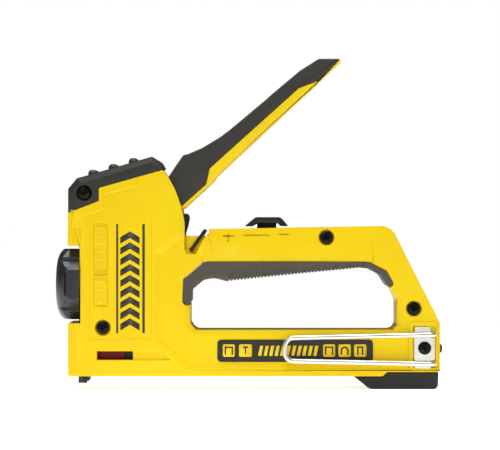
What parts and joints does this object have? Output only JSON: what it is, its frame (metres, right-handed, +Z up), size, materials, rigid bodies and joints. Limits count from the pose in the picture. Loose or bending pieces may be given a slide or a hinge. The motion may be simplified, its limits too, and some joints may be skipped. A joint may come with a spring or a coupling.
{
  "type": "staple gun",
  "caption": "Squeeze-handle staple gun with a selector dial at the nose, a locking handle, a power slider, a pull-out magazine and a wire belt hook.",
  "frame": {"origin": "centre of the overall box at the level of the magazine foot's flat base", "axes": "+X towards the rear of the tool, away from the staple exit; +Z up; +Y to the tool's right-hand side; the moulding seam is the plane Y = 0"},
  "size_m": [0.2002, 0.0384, 0.1705],
  "materials": {
    "housing_yellow": "matte textured",
    "cap_black": "satin",
    "soft_black": "matte",
    "screw_black": "black oxide",
    "steel": "brushed",
    "spring_steel": "satin",
    "nose_black": "black oxide",
    "hook_steel": "bright",
    "wire_black": "satin",
    "dial_grey": "satin",
    "badge_black": "gloss",
    "follower_red": "gloss",
    "foot_black": "matte"
  },
  "bodies": {
    "housing": {"left_shell": "housing_yellow", "right_shell": "housing_yellow", "head_cap": "cap_black", "case_screws": "screw_black", "handle_pin": "steel", "lever_pin": "steel", "finger_grip": "soft_black", "left_label": "badge_black", "right_label": "badge_black", "front_plate": "nose_black", "dial_screw": "screw_black", "power_spring": "spring_steel", "spring_seat": "steel", "recoil_bumper": "soft_black", "return_spring": "spring_steel", "staple_track": "steel", "handle_stop": "soft_black", "hook_plate": "hook_steel", "hook_screw": "screw_black", "belt_hook": "hook_steel"},
    "handle": {"handle_arm": "housing_yellow", "handle_cover": "soft_black", "lock_tabs": "steel", "handle_link_pin": "steel"},
    "links": {"lift_links": "steel"},
    "lever": {"trip_lever": "steel", "lever_link_pin": "steel"},
    "driver": {"plunger": "steel", "driver_blade": "steel"},
    "dial": {"selector_dial": "dial_grey"},
    "guide": {"cable_guide": "nose_black"},
    "power_control": {"power_slider": "foot_black", "slider_rod": "steel"},
    "bail": {"lock_bail": "wire_black"},
    "magazine": {"pusher_rail": "steel", "magazine_foot": "foot_black", "follower_spring": "spring_steel", "latch_spring": "spring_steel"},
    "pusher": {"follower": "follower_red"},
    "release": {"release_button": "foot_black"}
  },
  "joints": [
    {"name": "handle_squeeze", "type": "hinge", "parent": "housing", "child": "handle", "pos_m": [-0.052, 0, 0.1048], "axis": [0, 1, 0], "range_deg": [0, 40], "stiffness_Nm_per_rad": 0.9, "springref_deg": -28.65, "deforming": ["return_spring"]},
    {"name": "link_swing", "type": "hinge", "parent": "handle", "child": "links", "pos_m": [-0.061, 0, 0.0941], "axis": [0, 1, 0], "range_deg": [-52, 0]},
    {"name": "lever_trip", "type": "hinge", "parent": "housing", "child": "lever", "pos_m": [-0.0505, 0, 0.0735], "axis": [0, 1, 0], "range_deg": [0, 37]},
    {"name": "driver_lift", "type": "slide", "parent": "housing", "child": "driver", "axis": [0, 0, 1], "range_m": [0, 0.0151], "deforming": ["power_spring"]},
    {"name": "dial_turn", "type": "hinge", "parent": "housing", "child": "dial", "pos_m": [-0.09, 0, 0.0541], "axis": [1, 0, 0], "range_deg": [0, 90]},
    {"name": "guide_slide", "type": "slide", "parent": "housing", "child": "guide", "axis": [0, 0, -1], "range_m": [0, 0.004]},
    {"name": "power_slide", "type": "slide", "parent": "housing", "child": "power_control", "axis": [1, 0, 0], "range_m": [-0.012, 0.006]},
    {"name": "bail_swing", "type": "hinge", "parent": "housing", "child": "bail", "pos_m": [-0.0299, 0, 0.0718], "axis": [0, 1, 0], "range_deg": [-36, 0]},
    {"name": "magazine_slide", "type": "slide", "parent": "housing", "child": "magazine", "axis": [1, 0, 0], "range_m": [0, 0.1]},
    {"name": "follower_slide", "type": "slide", "parent": "magazine", "child": "pusher", "axis": [1, 0, 0], "range_m": [0, 0.085], "stiffness_N_per_m": 20, "springref_m": -0.05, "deforming": ["follower_spring"]},
    {"name": "release_press", "type": "slide", "parent": "magazine", "child": "release", "axis": [-1, 0, 0], "range_m": [0, 0.002], "stiffness_N_per_m": 800, "springref_m": -0.002, "deforming": ["latch_spring"]}
  ],
  "couplings": [
    {"joint": "link_swing", "follows": "handle_squeeze", "ratio": -1.2768},
    {"joint": "lever_trip", "follows": "handle_squeeze", "ratio": 0.91},
    {"joint": "driver_lift", "follows": "handle_squeeze", "m_per_rad": 0.021486},
    {"joint": "guide_slide", "follows": "dial_turn", "m_per_rad": 0.002546}
  ]
}
